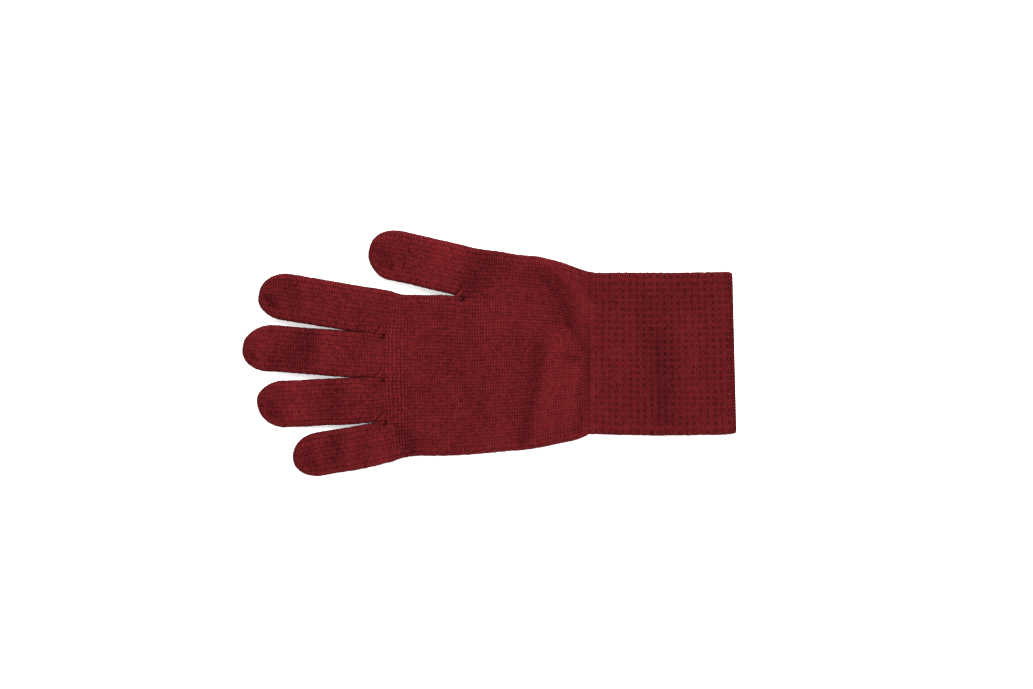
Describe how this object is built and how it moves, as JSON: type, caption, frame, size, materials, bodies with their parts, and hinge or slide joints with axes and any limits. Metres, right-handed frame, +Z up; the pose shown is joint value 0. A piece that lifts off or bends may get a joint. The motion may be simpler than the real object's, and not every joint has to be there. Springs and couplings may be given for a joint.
{
  "type": "knitted glove",
  "caption": "Seamless machine-knitted five-finger glove in wine-red yarn, lying flat, with a long ribbed elastic cuff.",
  "frame": {"origin": "centre of the glove's box, on the surface it lies on", "axes": "+X along the hand towards the open end of the cuff, fingers towards -X, +Y towards the thumb, +Z up from the surface"},
  "size_m": [0.272, 0.135, 0.012],
  "materials": {
    "plain_knit": "matte brushed acrylic yarn, plain knitting",
    "rib_knit": "matte brushed acrylic yarn, one-by-one rib",
    "binding_yarn": "matte acrylic yarn pulled tight",
    "elastic_yarn": "covered elastic thread, satin"
  },
  "bodies": {
    "hand": {"hand_tube": "plain_knit", "web_index_middle": "binding_yarn", "web_middle_ring": "binding_yarn", "web_ring_little": "binding_yarn", "web_thumb_index": "binding_yarn"},
    "index_lower": {"index_stall": "plain_knit"},
    "index_upper": {"index_tip": "plain_knit", "index_closing_stitches": "binding_yarn"},
    "middle_lower": {"middle_stall": "plain_knit"},
    "middle_upper": {"middle_tip": "plain_knit", "middle_closing_stitches": "binding_yarn"},
    "ring_lower": {"ring_stall": "plain_knit"},
    "ring_upper": {"ring_tip": "plain_knit", "ring_closing_stitches": "binding_yarn"},
    "little_lower": {"little_stall": "plain_knit"},
    "little_upper": {"little_tip": "plain_knit", "little_closing_stitches": "binding_yarn"},
    "thumb_lower": {"thumb_stall": "plain_knit"},
    "thumb_upper": {"thumb_tip": "plain_knit", "thumb_closing_stitches": "binding_yarn"},
    "cuff": {"cuff_ribbing": "rib_knit", "cuff_cast_on_edge": "rib_knit", "elastic_thread_01": "elastic_yarn", "elastic_thread_02": "elastic_yarn", "elastic_thread_03": "elastic_yarn", "elastic_thread_04": "elastic_yarn", "elastic_thread_05": "elastic_yarn", "elastic_thread_06": "elastic_yarn", "elastic_thread_07": "elastic_yarn", "elastic_thread_08": "elastic_yarn", "elastic_thread_09": "elastic_yarn", "elastic_thread_10": "elastic_yarn", "elastic_thread_11": "elastic_yarn", "elastic_thread_12": "elastic_yarn", "elastic_thread_13": "elastic_yarn", "elastic_thread_14": "elastic_yarn", "elastic_thread_15": "elastic_yarn", "elastic_thread_16": "elastic_yarn", "elastic_thread_17": "elastic_yarn", "elastic_thread_18": "elastic_yarn", "elastic_thread_19": "elastic_yarn", "elastic_thread_20": "elastic_yarn"}
  },
  "joints": [
    {"name": "index_root_fold", "type": "hinge", "parent": "hand", "child": "index_lower", "pos_m": [-0.06513, 0.02372, 0.006], "axis": [0, 1, 0], "range_deg": [0, 90]},
    {"name": "index_middle_fold", "type": "hinge", "parent": "index_lower", "child": "index_upper", "pos_m": [-0.09186, 0.02819, 0.006], "axis": [0, 1, 0], "range_deg": [0, 80]},
    {"name": "middle_root_fold", "type": "hinge", "parent": "hand", "child": "middle_lower", "pos_m": [-0.06727, -0.00098, 0.006], "axis": [0, 1, 0], "range_deg": [0, 90]},
    {"name": "middle_middle_fold", "type": "hinge", "parent": "middle_lower", "child": "middle_upper", "pos_m": [-0.09629, 0.0012, 0.006], "axis": [0, 1, 0], "range_deg": [0, 80]},
    {"name": "ring_root_fold", "type": "hinge", "parent": "hand", "child": "ring_lower", "pos_m": [-0.06664, -0.02585, 0.006], "axis": [0, 1, 0], "range_deg": [0, 90]},
    {"name": "ring_middle_fold", "type": "hinge", "parent": "ring_lower", "child": "ring_upper", "pos_m": [-0.09271, -0.02704, 0.006], "axis": [0, 1, 0], "range_deg": [0, 80]},
    {"name": "little_root_fold", "type": "hinge", "parent": "hand", "child": "little_lower", "pos_m": [-0.06419, -0.05031, 0.006], "axis": [0, 1, 0], "range_deg": [0, 90]},
    {"name": "little_middle_fold", "type": "hinge", "parent": "little_lower", "child": "little_upper", "pos_m": [-0.08404, -0.05349, 0.006], "axis": [0, 1, 0], "range_deg": [0, 80]},
    {"name": "thumb_root_fold", "type": "hinge", "parent": "hand", "child": "thumb_lower", "pos_m": [-0.0202, 0.0462, 0.006], "axis": [0.213, 0.977, 0], "range_deg": [0, 60]},
    {"name": "thumb_middle_fold", "type": "hinge", "parent": "thumb_lower", "child": "thumb_upper", "pos_m": [-0.04179, 0.0509, 0.006], "axis": [0.213, 0.977, 0], "range_deg": [0, 80]},
    {"name": "wrist_fold", "type": "hinge", "parent": "hand", "child": "cuff", "pos_m": [0.06046, 0, 0.006], "axis": [0, -1, 0], "range_deg": [0, 75]}
  ]
}
